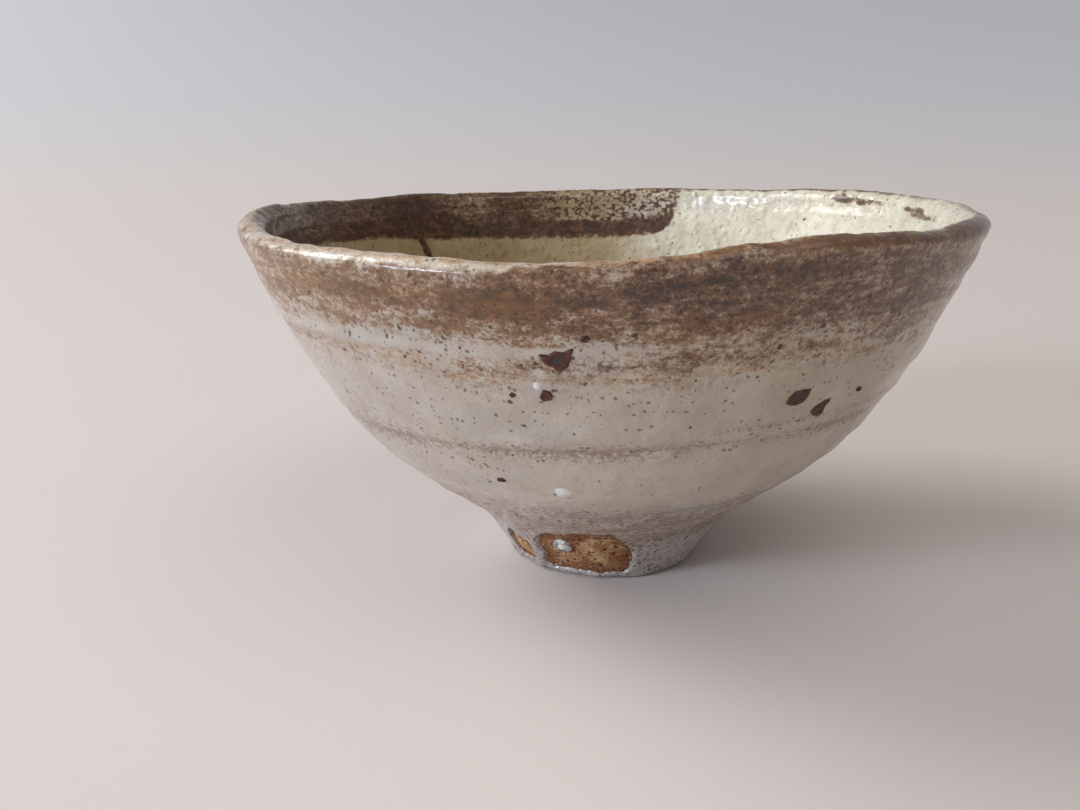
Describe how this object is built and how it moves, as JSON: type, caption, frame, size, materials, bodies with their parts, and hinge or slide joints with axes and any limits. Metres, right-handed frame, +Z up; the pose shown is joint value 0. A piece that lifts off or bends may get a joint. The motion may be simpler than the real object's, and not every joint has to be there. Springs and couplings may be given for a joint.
{
  "type": "matcha bowl",
  "caption": "Wide hand-thrown stoneware tea bowl on a small trimmed foot, in milky feldspar glaze with brushed iron bands.",
  "frame": {"origin": "centre of the foot ring's base, on the surface the bowl stands on", "axes": "+Z up along the axis the bowl was turned on; -Y towards the bowl's front, kept towards the guest"},
  "size_m": [0.1306, 0.1306, 0.0651],
  "materials": {
    "stoneware": "unglazed, gritty",
    "feldspar_glaze": "semi-gloss",
    "feldspar_glaze_inside": "gloss",
    "lip_glaze": "gloss",
    "foot_glaze": "semi-gloss",
    "iron_wash": "semi-gloss",
    "iron_brushwork": "gloss",
    "iron_speck": "satin",
    "thick_glaze": "gloss"
  },
  "bodies": {
    "root": {"clay_body": "stoneware", "foot_ring": "stoneware", "glaze_outside": "feldspar_glaze", "glaze_inside": "feldspar_glaze_inside", "glaze_lip": "lip_glaze", "glaze_foot": "foot_glaze", "iron_wash_outside": "iron_wash", "iron_band_inside": "iron_brushwork", "iron_spots": "iron_speck", "glaze_beads": "thick_glaze"}
  },
  "joints": []
}
